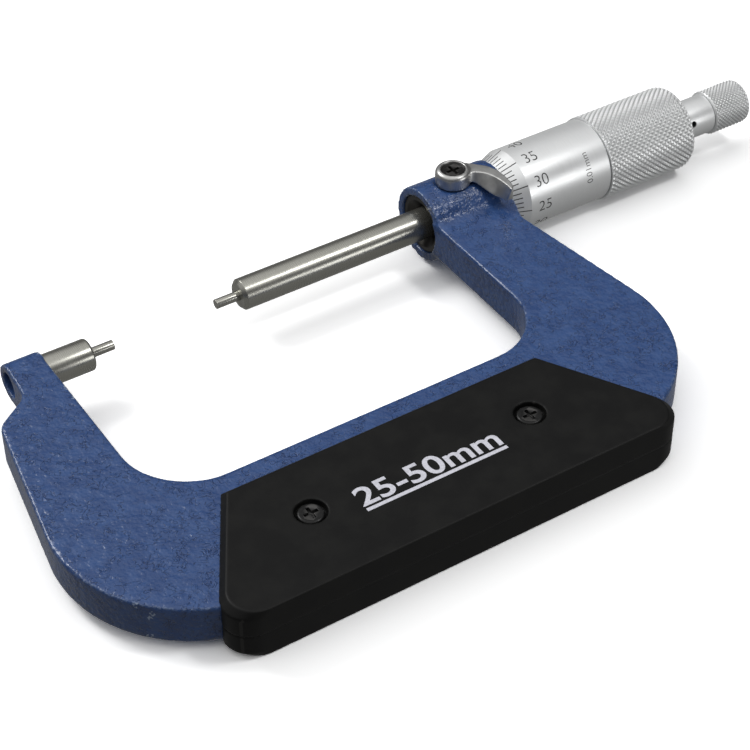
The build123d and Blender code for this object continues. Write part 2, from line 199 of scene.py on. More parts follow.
def add_paper_glow(tree):
    """Lets gloss see a pale sheet below the horizon, where the hidden floor would show."""
    rays = tree.nodes.new("ShaderNodeLightPath")
    dome = tree.nodes["Background"]
    down = tree.nodes.new("ShaderNodeSeparateXYZ")
    place = tree.nodes.new("ShaderNodeTexCoord")
    below = tree.nodes.new("ShaderNodeMapRange")
    below.inputs["From Min"].default_value = 0.02
    below.inputs["From Max"].default_value = -0.10
    both = tree.nodes.new("ShaderNodeMath")
    both.operation = "MULTIPLY"
    sheet = tree.nodes.new("ShaderNodeBackground")
    sheet.inputs["Color"].default_value = SHEET_GREY
    mix = tree.nodes.new("ShaderNodeMixShader")
    tree.links.new(place.outputs["Generated"], down.inputs[0])
    tree.links.new(down.outputs["Z"], below.inputs["Value"])
    tree.links.new(below.outputs[0], both.inputs[0])
    tree.links.new(rays.outputs["Is Glossy Ray"], both.inputs[1])
    tree.links.new(both.outputs[0], mix.inputs[0])
    tree.links.new(dome.outputs[0], mix.inputs[1])
    tree.links.new(sheet.outputs[0], mix.inputs[2])
    tree.links.new(mix.outputs[0], tree.nodes["World Output"].inputs["Surface"])


def light_scene():
    """A light tent, bright overhead and dark towards the horizon, with three softboxes."""
    scene.view_settings.view_transform = "Standard"
    for softbox in SOFTBOXES:
        add_area_light(*softbox)
    world = bpy.data.worlds.new("tent")
    scene.world = world
    world.use_nodes = True
    tree = world.node_tree
    place = tree.nodes.new("ShaderNodeTexCoord")
    towards = tree.nodes.new("ShaderNodeVectorMath")
    towards.operation = "DOT_PRODUCT"
    towards.inputs[1].default_value = TENT_AXIS
    ramp = tree.nodes.new("ShaderNodeValToRGB")
    ramp.color_ramp.interpolation = "EASE"
    for stop, (position, colour) in zip(ramp.color_ramp.elements, (TENT_DARK, TENT_BRIGHT)):
        stop.position = position
        stop.color = colour
    tree.links.new(place.outputs["Generated"], towards.inputs[0])
    tree.links.new(towards.outputs["Value"], ramp.inputs[0])
    tree.links.new(ramp.outputs[0], tree.nodes["Background"].inputs[0])
    tree.nodes["Background"].inputs[1].default_value = TENT_STRENGTH
    add_paper_glow(tree)


# ------------------------------------------------------------------ materials

class Shader:
    """A Principled material and short calls that add nodes to it."""

    def __init__(self, name, colour, metallic=0.0, roughness=0.5):
        self.material = bpy.data.materials.new(name)
        self.material.use_nodes = True
        self.tree = self.material.node_tree
        self.base = self.tree.nodes["Principled BSDF"]
        self.base.inputs["Base Color"].default_value = (*colour, 1)
        self.base.inputs["Metallic"].default_value = metallic
        self.base.inputs["Roughness"].default_value = roughness
        self.coords = self.tree.nodes.new("ShaderNodeTexCoord").outputs["Object"]

    def link(self, source, target):
        self.tree.links.new(source, target)

    def stretched(self, scale):
        """Object coordinates scaled along each axis."""
        node = self.tree.nodes.new("ShaderNodeMapping")
        node.inputs["Scale"].default_value = scale
        self.link(self.coords, node.inputs["Vector"])
        return node.outputs["Vector"]

    def noise(self, size, detail=2.0, rough=0.5, vector=None, distortion=0.0):
        """Noise whose features are about that size, in metres."""
        node = self.tree.nodes.new("ShaderNodeTexNoise")
        node.inputs["Scale"].default_value = 1 / size
        node.inputs["Detail"].default_value = detail
        node.inputs["Roughness"].default_value = rough
        node.inputs["Distortion"].default_value = distortion
        self.link(vector or self.coords, node.inputs["Vector"])
        return node.outputs["Fac"]

    def remap(self, source, low, high, to_low=0.0, to_high=1.0, smooth=True):
        node = self.tree.nodes.new("ShaderNodeMapRange")
        node.interpolation_type = "SMOOTHSTEP" if smooth else "LINEAR"
        for key, value in (("From Min", low), ("From Max", high), ("To Min", to_low), ("To Max", to_high)):
            node.inputs[key].default_value = value
        self.link(source, node.inputs["Value"])
        return node.outputs["Result"]

    def calc(self, kind, a, b):
        node = self.tree.nodes.new("ShaderNodeMath")
        node.operation = kind
        for socket, value in zip(node.inputs, (a, b)):
            if isinstance(value, (int, float)):
                socket.default_value = value
            else:
                self.link(value, socket)
        return node.outputs[0]

    def blend(self, factor, first, second):
        """Colour mix of two colours or colour sockets."""
        node = self.tree.nodes.new("ShaderNodeMix")
        node.data_type = "RGBA"
        self.link(factor, node.inputs["Factor"])
        colours = [s for s in node.inputs if s.type == "RGBA"]
        for socket, value in zip(colours, (first, second)):
            if isinstance(value, tuple):
                socket.default_value = (*value, 1)
            else:
                self.link(value, socket)
        return next(s for s in node.outputs if s.type == "RGBA")

    def edge_wear(self, low, high):
        """1 on convex edges and 0 in hollows, from the mesh's own pointiness."""
        geometry = self.tree.nodes.new("ShaderNodeNewGeometry")
        return self.remap(geometry.outputs["Pointiness"], low, high)

    def cut_below(self, start, end, radius, depth):
        """1 in cuts that deep below the radius about the measuring axis, between two x; else 0."""
        flat = self.tree.nodes.new("ShaderNodeVectorMath")
        flat.operation = "LENGTH"
        self.link(self.stretched((0.0, 1.0, 1.0)), flat.inputs[0])
        split = self.tree.nodes.new("ShaderNodeSeparateXYZ")
        self.link(self.coords, split.inputs["Vector"])
        low = self.remap(flat.outputs["Value"], radius - depth, radius, 1.0, 0.0, smooth=False)
        within = self.calc("MULTIPLY", self.calc("GREATER_THAN", split.outputs["X"], start),
                           self.calc("LESS_THAN", split.outputs["X"], end))
        return self.calc("MULTIPLY", low, within)

    def colour(self, source):
        self.link(source, self.base.inputs["Base Color"])

    def roughness(self, source):
        self.link(source, self.base.inputs["Roughness"])

    def bump(self, height, distance, strength=1.0):
        node = self.tree.nodes.new("ShaderNodeBump")
        node.inputs["Distance"].default_value = distance
        node.inputs["Strength"].default_value = strength
        self.link(height, node.inputs["Height"])
        last = self.base.inputs["Normal"].links
        if last:
            self.link(last[0].from_socket, node.inputs["Normal"])
        self.link(node.outputs["Normal"], self.base.inputs["Normal"])


def hammertone():
    """Blue hammer enamel: a glossy crinkled skin with short furrows and crests; painted shade darkens the
    furrows and painted highlights lighten the crests beside them.
    """
    s = Shader("blue_hammertone", (0.05, 0.09, 0.24), 0.0, 0.3)
    field = s.noise(1.9 * MM, 1.5, 0.5, distortion=1.4)
    level = s.calc("SUBTRACT", field, 0.5)
    patch = s.remap(s.noise(3.0 * MM, 1.0), 0.42, 0.54)
    furrow_and_painted_shade = s.calc("MULTIPLY", s.remap(s.calc("ABSOLUTE", level, 0.0), 0.0, 0.022, 1.0, 0.0), patch)
    beside = s.calc("ABSOLUTE", s.calc("SUBTRACT", level, 0.045), 0.0)
    crest_highlight = s.calc("MULTIPLY", s.remap(beside, 0.0, 0.022, 1.0, 0.0), patch)
    mottle = s.remap(s.noise(3.6 * MM, 3.0, 0.6), 0.35, 0.68)
    base = s.blend(mottle, (0.024, 0.060, 0.180), (0.034, 0.080, 0.222))
    # painted shade: the furrows darkened towards deep blue
    base = s.blend(s.calc("MULTIPLY", furrow_and_painted_shade, 0.62), base, (0.008, 0.022, 0.085))
    # painted highlight: the crests beside the furrows lightened
    base = s.blend(s.calc("MULTIPLY", crest_highlight, 0.24), base, (0.080, 0.145, 0.32))
    # painted highlight: pale glint dots along convex edges
    glint = s.calc("MULTIPLY", s.edge_wear(0.52, 0.57), s.remap(s.noise(0.6 * MM, 2.0), 0.46, 0.56))
    s.colour(s.blend(s.calc("MULTIPLY", glint, 0.75), base, (0.42, 0.50, 0.62)))
    s.roughness(s.remap(mottle, 0, 1, 0.24, 0.32, smooth=False))
    skin = s.calc("ADD", s.noise(1.2 * MM, 1.5, 0.5), s.calc("MULTIPLY", s.noise(0.5 * MM, 1.0), 0.30))
    s.bump(s.calc("SUBTRACT", skin, s.calc("MULTIPLY", furrow_and_painted_shade, 0.35)), 0.30 * MM, 1.0)
    s.base.inputs["Coat Weight"].default_value = 0.25
    s.base.inputs["Coat Roughness"].default_value = 0.10
    s.base.inputs["Specular IOR Level"].default_value = 0.4
    return s.material


def black_moulding():
    s = Shader("black_moulding", (0.012, 0.012, 0.012), 0.0, 0.55)
    s.base.inputs["Specular IOR Level"].default_value = 0.15
    grain = s.noise(0.16 * MM, 2.0, 0.6)
    cloud = s.noise(6 * MM, 3.0, 0.6)
    base = s.blend(s.remap(cloud, 0.35, 0.7), (0.0060, 0.0060, 0.0060), (0.0095, 0.0095, 0.009))
    # lighter on convex edges
    lighter_edge = s.edge_wear(0.53, 0.60)
    base = s.blend(s.calc("MULTIPLY", lighter_edge, 0.35), base, (0.06, 0.058, 0.055))
    s.colour(base)
    s.roughness(s.remap(cloud, 0.3, 0.7, 0.44, 0.54, smooth=False))
    s.bump(grain, 0.012 * MM, 0.6)
    return s.material


def chrome_cuts():
    """Start, end, outer radius, depth and strength of painted shade in the grooves of both knurls and in
    the spanner holes.
    """
    grip, barrel, cap = (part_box(node)[1] for node in ("thimble", "ratchet_housing", "ratchet_knob"))
    rest = 1 - UNSHADED_TOP
    return [
        (GRIP_START, grip.x - 1.0 * MM, grip.z - UNSHADED_TOP * GRIP_DEPTH, rest * GRIP_DEPTH, 0.28),
        (CAP_START, cap.x - 0.5 * MM, cap.z - UNSHADED_TOP * CAP_DEPTH, rest * CAP_DEPTH, 0.26),
        (SPANNER_X - 1.0 * MM, SPANNER_X + 1.0 * MM, barrel.z - 0.05 * MM, 0.3 * MM, 1.0),
    ]


def turned_metal(name, colour, roughness, line, depth, tint, metallic=1.0, cuts=()):
    """Metal with fine lines round the measuring axis, as turning leaves; painted shade darkens its hollows
    and its cuts.
    """
    s = Shader(name, colour, metallic, roughness)
    lines = s.noise(line, 3.0, 0.7, s.stretched((1.0, 0.04, 0.04)))
    cloud = s.noise(5 * MM, 3.0, 0.6)
    soft = tuple(c * tint for c in colour)
    lined_colour = s.blend(s.remap(lines, 0.3, 0.7), soft, colour)
    # painted shade: darker in hollows, where pointiness is low
    base = s.blend(s.edge_wear(0.36, 0.49), tuple(c * 0.22 for c in colour), lined_colour)
    # painted shade: knurl grooves and spanner holes darkened towards near black
    for start, end, radius, deep, painted_shade in cuts:
        shade = s.calc("MULTIPLY", s.cut_below(start, end, radius, deep), painted_shade)
        base = s.blend(shade, base, tuple(c * 0.08 for c in colour))
    s.colour(base)
    s.roughness(s.calc("ADD", s.remap(cloud, 0.3, 0.7, roughness - 0.03, roughness + 0.03, smooth=False),
                       s.remap(lines, 0.3, 0.7, -0.03, 0.03, smooth=False)))
    s.bump(lines, depth, 0.5)
    return s.material


def lever_metal():
    s = Shader("lever_chrome", (0.56, 0.56, 0.55), 0.95, 0.34)
    grain = s.noise(0.25 * MM, 3.0, 0.65)
    cloud = s.noise(2.2 * MM, 2.0)
    s.colour(s.blend(s.remap(cloud, 0.35, 0.65), (0.50, 0.50, 0.49), (0.60, 0.60, 0.59)))
    s.roughness(s.remap(cloud, 0.3, 0.7, 0.33, 0.42, smooth=False))
    s.bump(grain, 0.006 * MM, 0.5)
    return s.material


def blacked_steel():
    colour, roughness = (0.022, 0.022, 0.022), 0.38
    s = Shader("black_screw", colour, 0.7, roughness)
    cloud = s.noise(0.8 * MM, 3.0, 0.6)
    lighter_rim = s.edge_wear(0.54, 0.64)
    base = s.blend(s.remap(cloud, 0.35, 0.7), tuple(c * 0.75 for c in colour), colour)
    # lighter on convex edges
    s.colour(s.blend(s.calc("MULTIPLY", lighter_rim, 0.5), base, (0.16, 0.155, 0.15)))
    s.roughness(s.remap(cloud, 0.3, 0.7, roughness - 0.06, roughness + 0.06, smooth=False))
    s.bump(s.noise(0.12 * MM, 2.0), 0.006 * MM, 0.5)
    return s.material


def brass():
    s = Shader("brass", (0.60, 0.44, 0.18), 1.0, 0.3)
    cloud = s.noise(0.9 * MM, 3.0)
    s.colour(s.blend(s.remap(cloud, 0.35, 0.65), (0.50, 0.36, 0.14), (0.62, 0.46, 0.20)))
    s.bump(s.noise(0.15 * MM), 0.006 * MM, 0.4)
    return s.material


def ink(name, colour, roughness):
    s = Shader(name, colour, 0.0, roughness)
    patchy = s.noise(0.35 * MM, 3.0, 0.65)
    s.colour(s.blend(s.remap(patchy, 0.35, 0.6), tuple(c * 0.8 for c in colour), colour))
    s.bump(s.noise(0.1 * MM), 0.004 * MM, 0.3)
    return s.material


def floor_paper():
    s = Shader("floor_paper", (1.5, 1.5, 1.5), 0.0, 1.0)
    s.base.inputs["Specular IOR Level"].default_value = 0.0
    return s.material


# ------------------------------------------------------------------ mesh helpers

def add_piece(name, mesh, material, body, replaces=(), sharp_deg=32):
    """Finishes a mesh as a smooth-shaded piece of the tool."""
    mesh.name = name
    tidy = bmesh.new()
    tidy.from_mesh(mesh)
    bmesh.ops.remove_doubles(tidy, verts=tidy.verts, dist=ON_AXIS)
    bmesh.ops.recalc_face_normals(tidy, faces=tidy.faces)
    tidy.to_mesh(mesh)
    tidy.free()
    mesh.shade_smooth()
    mesh.set_sharp_from_angle(angle=math.radians(sharp_deg))
    mesh.materials.clear()
    mesh.materials.append(material)
    piece = bpy.data.objects.new(name, mesh)
    scene.collection.objects.link(piece)
    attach(piece, body)
    for node in replaces:
        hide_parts(node)
    return piece


def mesh_from(verts, faces):
    mesh = bpy.data.meshes.new("draft")
    mesh.from_pydata([tuple(v) for v in verts], [], faces)
    return mesh


def with_rounds(corners, steps=5, closed=False):
    """Profile points from (x, r, rounding radius) corners; each rounded corner becomes a short arc."""
    points = []
    count = len(corners)
    for i, (x, r, radius) in enumerate(corners):
        here = Vector((x, r))
        if radius <= 0 or (not closed and i in (0, count - 1)):
            points.append(here)
            continue
        before = (Vector(corners[i - 1][:2]) - here).normalized()
        after = (Vector(corners[(i + 1) % count][:2]) - here).normalized()
        half = before.angle(after) / 2
        reach = radius / math.tan(half)
        centre = here + (before + after).normalized() * (radius / math.sin(half))
        first, last = here + before * reach - centre, here + after * reach - centre
        sweep = first.angle_signed(last)
        points += [centre + Matrix.Rotation(-sweep * k / steps, 2) @ first for k in range(steps + 1)]
    return points


def round_axis(x, r, turn):
    """Point at that radius and turn about the measuring axis; turn 0 faces -Y."""
    return (x, -r * math.cos(turn), r * math.sin(turn))


def lathe(profile, segments=160, closed=False, radius_at=None, axis_x=True, centre=(0.0, 0.0)):
    """Mesh turned from (along, radius) points, about X, or about an upright axis through the centre."""
    verts, rings = [], []
    for along, radius in profile:
        if radius < ON_AXIS:
            rings.append([len(verts)])
            verts.append((along, 0.0, 0.0))
            continue
        rings.append(list(range(len(verts), len(verts) + segments)))
        for k in range(segments):
            turn = TAU * k / segments
            r = radius_at(along, radius, turn) if radius_at else radius
            verts.append(round_axis(along, r, turn))
    faces = []
    pairs = list(zip(rings, rings[1:] + rings[:1])) if closed else list(zip(rings, rings[1:]))
    for a, b in pairs:
        for k in range(segments):
            m = (k + 1) % segments
            if len(a) == 1 and len(b) == 1:
                continue
            if len(a) == 1:
                faces.append((a[0], b[k], b[m]))
            elif len(b) == 1:
                faces.append((a[k], b[0], a[m]))
            else:
                faces.append((a[k], b[k], b[m], a[m]))
    if not axis_x:
        verts = [(centre[0] + y, centre[1] + z, x) for x, y, z in verts]
    return mesh_from(verts, faces)


def joined(meshes):
    """One mesh from several closed ones that don't touch."""
    verts, faces = [], []
    for mesh in meshes:
        start = len(verts)
        verts += [v.co.copy() for v in mesh.vertices]
        faces += [[start + i for i in p.vertices] for p in mesh.polygons]
        bpy.data.meshes.remove(mesh)
    return mesh_from(verts, faces)


def evaluated(source, modifiers):
    """Mesh of a temporary copy of a node or mesh after (type, settings) modifiers."""
    mesh = source.data.copy() if isinstance(source, bpy.types.Object) else source
    helper = bpy.data.objects.new("helper", mesh)
    scene.collection.objects.link(helper)
    for kind, settings in modifiers:
        modifier = helper.modifiers.new(kind.lower(), kind)
        for key, value in settings.items():
            setattr(modifier, key, value)
    bpy.context.view_layer.update()
    graph = bpy.context.evaluated_depsgraph_get()
    result = bpy.data.meshes.new_from_object(helper.evaluated_get(graph))
    bpy.data.objects.remove(helper)
    return result


def drilled(mesh, tool):
    """The mesh with the tool mesh cut out of it."""
    cutter = bpy.data.objects.new("drill", tool)
    scene.collection.objects.link(cutter)
    result = evaluated(mesh, [
        ("BOOLEAN", {"object": cutter, "operation": "DIFFERENCE", "solver": "EXACT"}),
    ])
    bpy.data.objects.remove(cutter)
    return result


def voxel_fused(source, size, passes):
    """Mesh rebuilt from even voxels and smoothed, so its edges come out soft."""
    return evaluated(source, [
        ("REMESH", {"mode": "VOXEL", "voxel_size": size, "use_smooth_shade": True}),
        ("SMOOTH", {"factor": 0.5, "iterations": passes}),
    ])


def softened(node):
    """Copy of a CAD node's mesh with its flat faces merged and its edges rounded."""
    mesh = nodes[node].data.copy()
    work = bmesh.new()
    work.from_mesh(mesh)
    bmesh.ops.remove_doubles(work, verts=work.verts, dist=1e-6)
    bmesh.ops.dissolve_limit(work, angle_limit=math.radians(0.6), verts=work.verts, edges=work.edges)
    work.to_mesh(mesh)
    work.free()
    rounding = {
        "width": SCREW_EDGE, "segments": 3, "limit_method": "ANGLE",
        "angle_limit": math.radians(28), "use_clamp_overlap": True, "miter_outer": "MITER_ARC",
    }
    return evaluated(mesh, [("BEVEL", rounding)])


# ------------------------------------------------------------------ frame and covers

def make_frame_casting(material):
    """The casting with slightly rounded edges and a lightly rippled enamel skin."""
    ripple = bpy.data.textures.new("ripple", "CLOUDS")
    ripple.noise_scale = 0.9 * MM
    ripple.noise_depth = 1
    skin = {"texture": ripple, "strength": 0.05 * MM, "mid_level": 0.5, "texture_coords": "LOCAL"}
    mesh = evaluated(nodes["frame"], [
        ("REMESH", {"mode": "VOXEL", "voxel_size": FRAME_VOXEL, "use_smooth_shade": True}),
        ("SMOOTH", {"factor": 0.5, "iterations": 2}),
        ("DISPLACE", skin),
    ])
    add_piece("frame_casting", mesh, material, "frame_body", ["frame"], sharp_deg=180)


def make_covers(material, marking):
    """Both insulating covers, and the range marking on the upper one."""
    for side in ("top", "bottom"):
        mesh = voxel_fused(nodes[f"cover_{side}"], COVER_VOXEL, 2)
        add_piece(f"insulating_cover_{side}", mesh, material, "frame_body",
                  [f"cover_{side}"], sharp_deg=180)
    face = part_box("cover_top")[1].z
    mesh = lettering("25-50mm", MARK_SIZE, MARK_PROUD, bold=MARK_BOLD)
    spread = [v.co.x for v in mesh.vertices]
    stretch = (MARK_RIGHT - MARK_LEFT) / (max(spread) - min(spread))
    middle = (MARK_LEFT + MARK_RIGHT) / 2
    foot = min(v.co.y for v in mesh.vertices)
    for v in mesh.vertices:
        v.co = (middle + v.co.x * stretch, MARK_FOOT + v.co.y - foot, face + v.co.z)
    bar = box_mesh((MARK_LEFT, BAR_FOOT, face - MARK_PROUD), (MARK_RIGHT, BAR_TOP, face + MARK_PROUD))
    add_piece("range_marking", joined([mesh, bar]), marking, "frame_body")


def box_mesh(low, high):
    """Closed box between two corners."""
    verts = [(x, y, z) for x in (low[0], high[0]) for y in (low[1], high[1]) for z in (low[2], high[2])]
    faces = [(0, 1, 3, 2), (4, 6, 7, 5), (0, 4, 5, 1), (2, 3, 7, 6), (0, 2, 6, 4), (1, 5, 7, 3)]
    return mesh_from(verts, faces)


def lettering(text, size, depth, bold=0.0):
    """Closed mesh of plain letters, centred, lying in the XY plane and standing depth proud."""
    curve = bpy.data.curves.new("letters", "FONT")
    curve.body = text
    curve.size = size
    curve.align_x = "CENTER"
    curve.align_y = "CENTER"
    curve.extrude = depth
    curve.offset = bold * size
    curve.resolution_u = 5
    holder = bpy.data.objects.new("letters", curve)
    scene.collection.objects.link(holder)
    bpy.context.view_layer.update()
    graph = bpy.context.evaluated_depsgraph_get()
    mesh = bpy.data.meshes.new_from_object(holder.evaluated_get(graph))
    bpy.data.objects.remove(holder)
    return mesh


# ------------------------------------------------------------------ spindle side

def make_anvil(steel):
    """Fixed bar with a rounded face and a bore for its pin."""
    low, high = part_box("anvil")
    profile = with_rounds([
        (high.x - PIN_BORE_DEPTH, 0, 0),
        (high.x - PIN_BORE_DEPTH, PIN_BORE_R, 0),
        (high.x, PIN_BORE_R, 0.06 * MM),
        (high.x, high.z, 0.6 * MM),
        (low.x, high.z, 0.2 * MM),
        (low.x, 0, 0),
    ])
    add_piece("anvil_bar", lathe(profile), steel, "frame_body", ["anvil"])


def make_pin(node, body, free_end, steel):
    low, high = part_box(node)
    face, back = (low.x, high.x) if free_end < 0 else (high.x, low.x)
    edge = 0.08 * MM
    profile = with_rounds([(face, 0, 0), (face, high.z, edge), (back, high.z, edge), (back, 0, 0)])
    add_piece(f"{node}_ground", lathe(profile, 96), steel, body, [node])


def make_spindle(steel):
    """Guided bar with its chamfered face, the screw behind it and the seats at the rear."""
    low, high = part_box("spindle")
    plain_r, seat_r, stub_r, screw_hole_r = 3.25 * MM, 3.4 * MM, 2.5 * MM, 1.01 * MM
    chamfer = 0.7 * MM
    profile = with_rounds([
        (low.x + PIN_BORE_DEPTH, 0, 0),
        (low.x + PIN_BORE_DEPTH, PIN_BORE_R, 0),
        (low.x, PIN_BORE_R, 0.06 * MM),
        (low.x, plain_r - chamfer, 0.1 * MM),
        (low.x + chamfer, plain_r, 0.15 * MM),
        (SCREW_START, plain_r, 0),
        (SCREW_START, high.z, 0.2 * MM),
        (THIMBLE_WALL, high.z, 0.1 * MM),
        (THIMBLE_WALL, seat_r, 0),
        (SEAT_END, seat_r, 0.1 * MM),
        (SEAT_END, stub_r, 0),
        (high.x, stub_r, 0.2 * MM),
        (high.x, screw_hole_r, 0),
        (SEAT_END, screw_hole_r, 0),
        (SEAT_END, 0, 0),
    ])
    add_piece("spindle_bar", lathe(profile), steel, "thimble_body", ["spindle"])


def knurl_height(around, lead):
    """Raised diamonds: 0 in the grooves and 1 on the flat tops, from two crossing screw families."""
    def height(along, turn):
        first = (around * turn / TAU + along / lead) % 1
        second = (around * turn / TAU - along / lead) % 1
        nearest = min(1 - abs(2 * first - 1), 1 - abs(2 * second - 1))
        return min(1.0, nearest * KNURL_SLOPE)
    return height


def knurled_lathe(profile, around, lead, depth, start, end, fade=0.5 * MM):
    """Closed turned mesh whose outside between start and end carries a diamond knurl."""
    height = knurl_height(around, lead)
    inside_r = max(r for _, r in profile) - 2 * MM

    def radius_at(along, radius, turn):
        inside = min(along - start, end - along)
        if inside <= 0 or radius < inside_r:
            return radius
        weight = min(1.0, inside / fade)
        return radius - depth * weight * (1 - height(along, turn))

    return lathe(profile, around * KNURL_STEPS, True, radius_at)


def resampled(points, start, end, step):
    """Profile with extra points every step along X where it lies on the outside between start and end."""
    out = [points[0]]
    for a, b in zip(points, points[1:]):
        if min(a.x, b.x) >= start - 1e-9 and max(a.x, b.x) <= end + 1e-9 and b.x > a.x:
            parts = max(1, round((b.x - a.x) / step))
            out += [a.lerp(b, k / parts) for k in range(1, parts)]
        out.append(b)
    return out


def make_thimble(chrome):
    """Thimble with its bevel, plain barrel and knurled grip."""
    low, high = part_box("thimble")
    grip_r = high.z
    corners = [
        (low.x, THIMBLE_BORE_R, 0),
        (low.x, BEVEL_FRONT_R, 0.06 * MM),
        (low.x + BEVEL_LENGTH, THIMBLE_R, 0.25 * MM),
        (GRIP_START - 0.25 * MM, THIMBLE_R, 0.1 * MM),
        (GRIP_START - 0.25 * MM, THIMBLE_R - 0.15 * MM, 0),
        (GRIP_START, THIMBLE_R - 0.15 * MM, 0),
        (GRIP_START, grip_r - 0.1 * MM, 0),
        (GRIP_START + 0.15 * MM, grip_r, 0),
        (high.x, grip_r, 1.5 * MM),
        (high.x, SEAT_R + 1.4 * MM, 0.2 * MM),
        (high.x - 0.5 * MM, SEAT_R + 1.0 * MM, 0.1 * MM),
        (high.x - 0.5 * MM, SEAT_R, 0.1 * MM),
        (THIMBLE_WALL, SEAT_R, 0),
        (THIMBLE_WALL, THIMBLE_BORE_R, 0),
    ]
    profile = with_rounds(corners, closed=True, steps=8)
    profile = resampled(profile, GRIP_START, high.x, GRIP_LEAD / KNURL_STEPS)
    mesh = knurled_lathe(profile, GRIP_AROUND, GRIP_LEAD, GRIP_DEPTH, GRIP_START, high.x - 0.35 * MM)
    add_piece("thimble_sleeve", mesh, chrome, "thimble_body", ["thimble"], sharp_deg=40)


def on_thimble(x, turn, proud):
    """Point on the thimble's outside, proud of it by that much."""
    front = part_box("thimble")[0].x
    share = min(1.0, max(0.0, (x - front) / BEVEL_LENGTH))
    return round_axis(x, BEVEL_FRONT_R + (THIMBLE_R - BEVEL_FRONT_R) * share + proud, turn)


def on_sleeve(x, turn, proud):
    return round_axis(x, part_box("scale_sleeve")[1].z + proud, turn)


def engraved_line(surface, x0, x1, turn0, turn1):
    """Closed thin bar of ink that follows the surface from x0 to x1 and from turn0 to turn1."""
    columns = max(1, math.ceil(abs(turn1 - turn0) / math.radians(4)))
    verts = []
    for k in range(columns + 1):
        turn = turn0 + (turn1 - turn0) * k / columns
        verts += [surface(x, turn, proud) for proud in (-INK_DEPTH, INK_HEIGHT) for x in (x0, x1)]
    faces = [(0, 1, 3, 2)]
    for k in range(columns):
        a, b = 4 * k, 4 * k + 4
        faces += [(a, b, b + 1, a + 1), (a + 2, a + 3, b + 3, b + 2)]
        faces += [(a, a + 2, b + 2, b), (a + 1, b + 1, b + 3, a + 3)]
    last = 4 * columns
    faces.append((last, last + 2, last + 3, last + 1))
    return mesh_from(verts, faces)


def engraved_text(surface, text, size, x, turn, radius, around=False):
    """Letters wrapped round the axis: they read along X, or round the axis with their tops towards -X."""
    mesh = lettering(text, size, 1.0 * MM, bold=-0.012)
    for v in mesh.vertices:
        proud = INK_HEIGHT if v.co.z > 0 else -INK_DEPTH
        if around:
            v.co = surface(x - v.co.y, turn + v.co.x / radius, proud)
        else:
            v.co = surface(x + v.co.x, turn + v.co.y / radius, proud)
    return mesh


def division_turn(division):
    """Turn of a thimble division about the measuring axis."""
    return ANGLE_OF_30 + (division - 30) * TAU / DIVISIONS


def make_thimble_graduations(black):
    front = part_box("thimble")[0].x
    half = 0.11 * MM / THIMBLE_R
    marks = []
    for division in range(DIVISIONS):
        turn = division_turn(division)
        numbered = division % NUMBER_STEP == 0
        reach = BEVEL_LENGTH if numbered else 2.1 * MM
        marks.append(engraved_line(on_thimble, front + 0.15 * MM, front + reach, turn - half, turn + half))
        if numbered:
            x = front + 7.2 * MM
            marks.append(engraved_text(on_thimble, str(division), 3.55 * MM, x, turn, THIMBLE_R))
    x, turn = front + 18.8 * MM, division_turn(29)
    marks.append(engraved_text(on_thimble, "0.01mm", 2.1 * MM, x, turn, THIMBLE_R, around=True))
    add_piece("thimble_graduations", joined(marks), black, "thimble_body")


def make_guide_sleeve(dark):
    """Dark inner sleeve: its wide mouth shows in the boss, its stem runs back under the scale."""
    low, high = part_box("guide_sleeve")
    mouth_r, mouth_depth = 5.2 * MM, 1.9 * MM
    profile = with_rounds([
        (low.x, mouth_r, 0.15 * MM),
        (low.x, high.z, 0.25 * MM),
        (BOSS_BACK, high.z, 0),
        (BOSS_BACK, SLEEVE_STEM_R, 0),
        (high.x, SLEEVE_STEM_R, 0.2 * MM),
        (high.x, NUT_R, 0),
        (NUT_START, NUT_R, 0),
        (NUT_START, RELIEF_R, 0),
        (GUIDE_BORE_END, RELIEF_R, 0),
        (GUIDE_BORE_END, GUIDE_BORE_R, 0),
        (low.x + mouth_depth, GUIDE_BORE_R, 0),
    ], closed=True)
    add_piece("guide_bush", lathe(profile, closed=True), dark, "frame_body", ["guide_sleeve"])


def make_scale_sleeve(chrome, black):
    """Outer sleeve with its datum line and half-millimetre scale, mostly under the thimble at rest."""
    low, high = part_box("scale_sleeve")
    inner = SLEEVE_STEM_R + 0.01 * MM
    profile = with_rounds([
        (low.x, inner, 0), (low.x, high.z, 0.15 * MM), (high.x, high.z, 0.2 * MM), (high.x, inner, 0),
    ], closed=True)
    add_piece("graduated_sleeve", lathe(profile, 160, closed=True), chrome, "frame_body",
              ["scale_sleeve"])
    datum = division_turn(DATUM_DIVISION)
    radius = high.z
    zero_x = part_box("thimble")[0].x + RANGE_START_MM * MM - REST_GAP
    thin = 0.07 * MM
    line = thin / radius
    marks = [engraved_line(on_sleeve, zero_x - 1.5 * MM, high.x - 1.2 * MM, datum - line, datum + line)]
    for half_mm in range(2 * (RANGE_END_MM - RANGE_START_MM) + 1):
        x = zero_x + half_mm * PITCH
        whole = half_mm % 2 == 0
        numbered = half_mm % 10 == 0
        reach = (2.2 if numbered else 1.5) * MM / radius
        ends = (datum + line, datum + reach) if whole else (datum - reach, datum - line)
        marks.append(engraved_line(on_sleeve, x - thin, x + thin, *ends))
        if numbered:
            value = RANGE_START_MM + half_mm // 2
            turn = datum + 3.5 * MM / radius
            marks.append(engraved_text(on_sleeve, str(value), 2.0 * MM, x, turn, radius))
    add_piece("sleeve_graduations", joined(marks), black, "frame_body")


